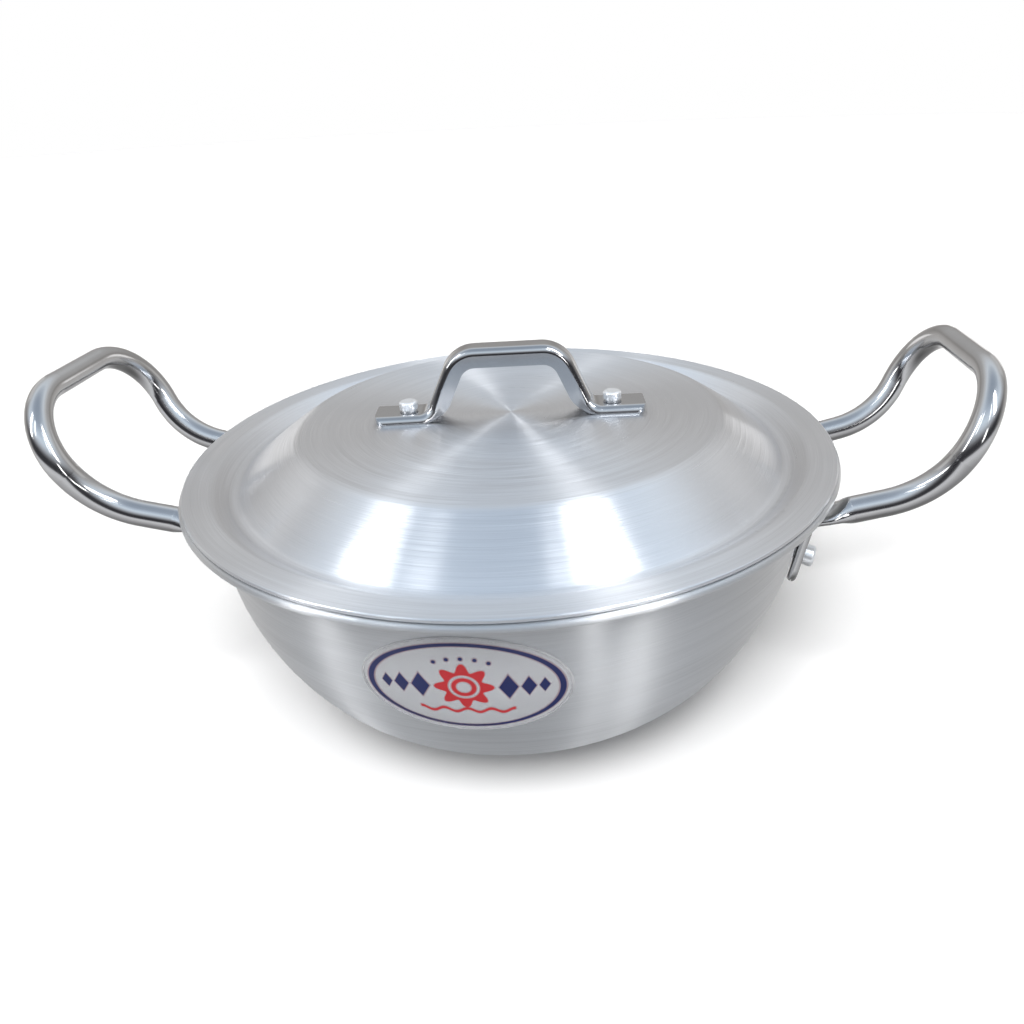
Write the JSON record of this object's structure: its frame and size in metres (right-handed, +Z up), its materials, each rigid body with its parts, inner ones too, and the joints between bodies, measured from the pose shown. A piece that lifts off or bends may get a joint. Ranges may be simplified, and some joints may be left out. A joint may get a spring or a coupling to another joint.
{
  "type": "lidded kadai",
  "caption": "Round spun aluminium kadai with riveted steel tube side handles and a loose stepped lid that lifts off by a pressed strap handle.",
  "frame": {"origin": "on the bowl's axis at the underside of its flat base", "axes": "+X through the middles of the side handles, +Z up out of the bowl"},
  "size_m": [0.375, 0.262, 0.1418],
  "materials": {
    "bowl": "fine spun",
    "right_handle": "polished",
    "left_handle": "polished",
    "right_front_rivet": "satin",
    "right_back_rivet": "satin",
    "left_front_rivet": "satin",
    "left_back_rivet": "satin",
    "lid": "fine spun",
    "lid_handle": "polished",
    "lid_right_rivet": "satin",
    "lid_left_rivet": "satin"
  },
  "bodies": {
    "pan": {"bowl": "bowl", "right_handle": "right_handle", "left_handle": "left_handle", "right_front_rivet": "right_front_rivet", "right_back_rivet": "right_back_rivet", "left_front_rivet": "left_front_rivet", "left_back_rivet": "left_back_rivet"},
    "cover": {"lid": "lid", "lid_handle": "lid_handle", "lid_right_rivet": "lid_right_rivet", "lid_left_rivet": "lid_left_rivet"}
  },
  "joints": [
    {"name": "lid_lift", "type": "slide", "parent": "pan", "child": "cover", "axis": [0, 0, 1], "range_m": [0, 0.15]}
  ]
}
